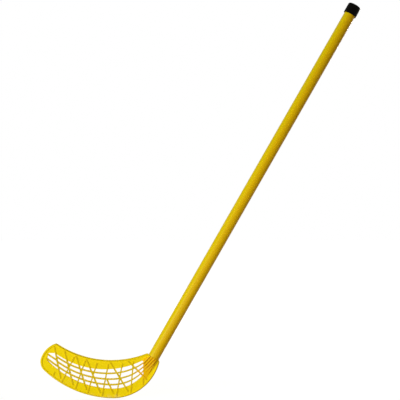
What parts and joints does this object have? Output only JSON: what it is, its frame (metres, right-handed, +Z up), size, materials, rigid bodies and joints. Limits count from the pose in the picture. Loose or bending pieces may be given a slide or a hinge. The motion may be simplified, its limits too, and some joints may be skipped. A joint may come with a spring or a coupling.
{
  "type": "floorball stick",
  "caption": "Floorball stick: a straight round plastic tube with a push-on end cap and a flat lattice blade on a grooved neck, for playing a light hollow ball along the floor.",
  "frame": {"origin": "on the shaft's axis, where the upper hand holds it, 150 mm below the tube's top end", "axes": "+Z up with the blade standing on its sole as in play, +X towards the side that the shaft leans to, the blade's toe towards -X, and Y across the blade"},
  "size_m": [0.6674, 0.028, 0.8249],
  "materials": {
    "shaft_plastic": "golden yellow, semi-gloss, extruded",
    "cap_rubber": "black, satin",
    "blade_plastic": "lemon yellow, satin, moulded",
    "screw_steel": "zinc plated"
  },
  "bodies": {
    "stick": {"shaft_tube": "shaft_plastic", "blade": "blade_plastic", "blade_screws": "screw_steel"},
    "cap": {"end_cap": "cap_rubber"}
  },
  "joints": [
    {"name": "cap_slide", "type": "slide", "parent": "stick", "child": "cap", "axis": [0.497, 0, 0.8678], "range_m": [0, 0.03]}
  ]
}
